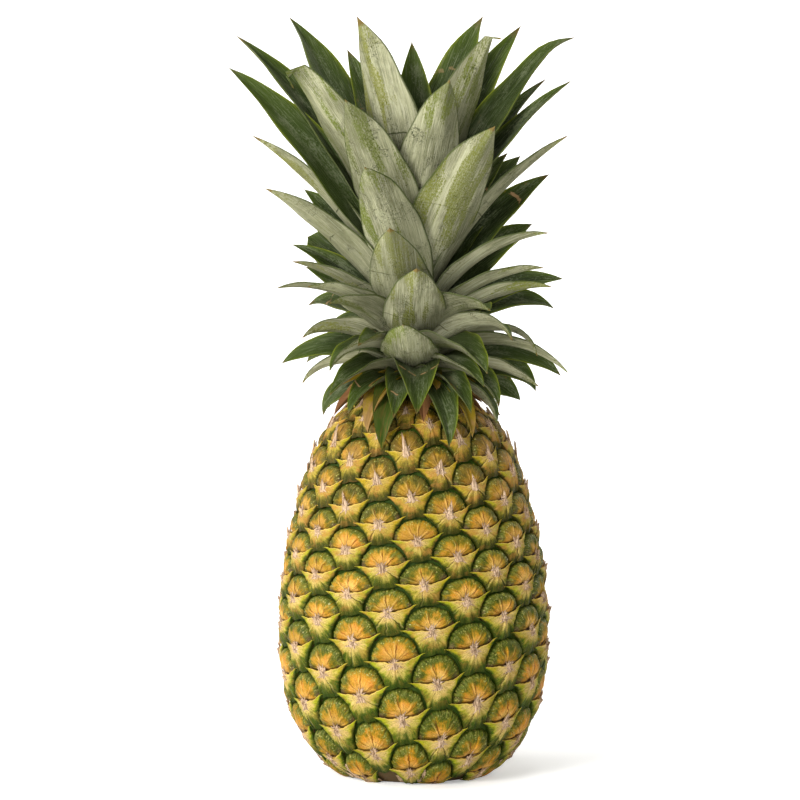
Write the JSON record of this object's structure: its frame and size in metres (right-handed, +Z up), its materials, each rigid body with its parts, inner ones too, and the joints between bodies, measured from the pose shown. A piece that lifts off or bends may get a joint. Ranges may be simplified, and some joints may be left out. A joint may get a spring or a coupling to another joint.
{
  "type": "pineapple",
  "caption": "Whole ripe pineapple standing on its cut base: barrel-shaped fruit with a spiral of eyes and pointed bracts, cut stem, and a tall spreading crown of stiff pointed leaves.",
  "frame": {"origin": "centre of the stem's cut face, level with the base that the fruit stands on", "axes": "+Z up the fruit's axis to the crown, +X to the right and +Y away as seen from the front"},
  "size_m": [0.157, 0.136, 0.349],
  "materials": {
    "rind": "waxy yellow-green and orange-brown rind, each eye a tan dome under a streaked bract with a dried tip",
    "stem": "dry fibrous cut, pale tan with a browned rim",
    "leaf": "stiff leaves, glossy dark green above, grey-green waxy bloom beneath, scraped green in places"
  },
  "bodies": {
    "root": {"fruit": "rind", "cut_stem": "stem", "crown": "leaf"}
  },
  "joints": []
}
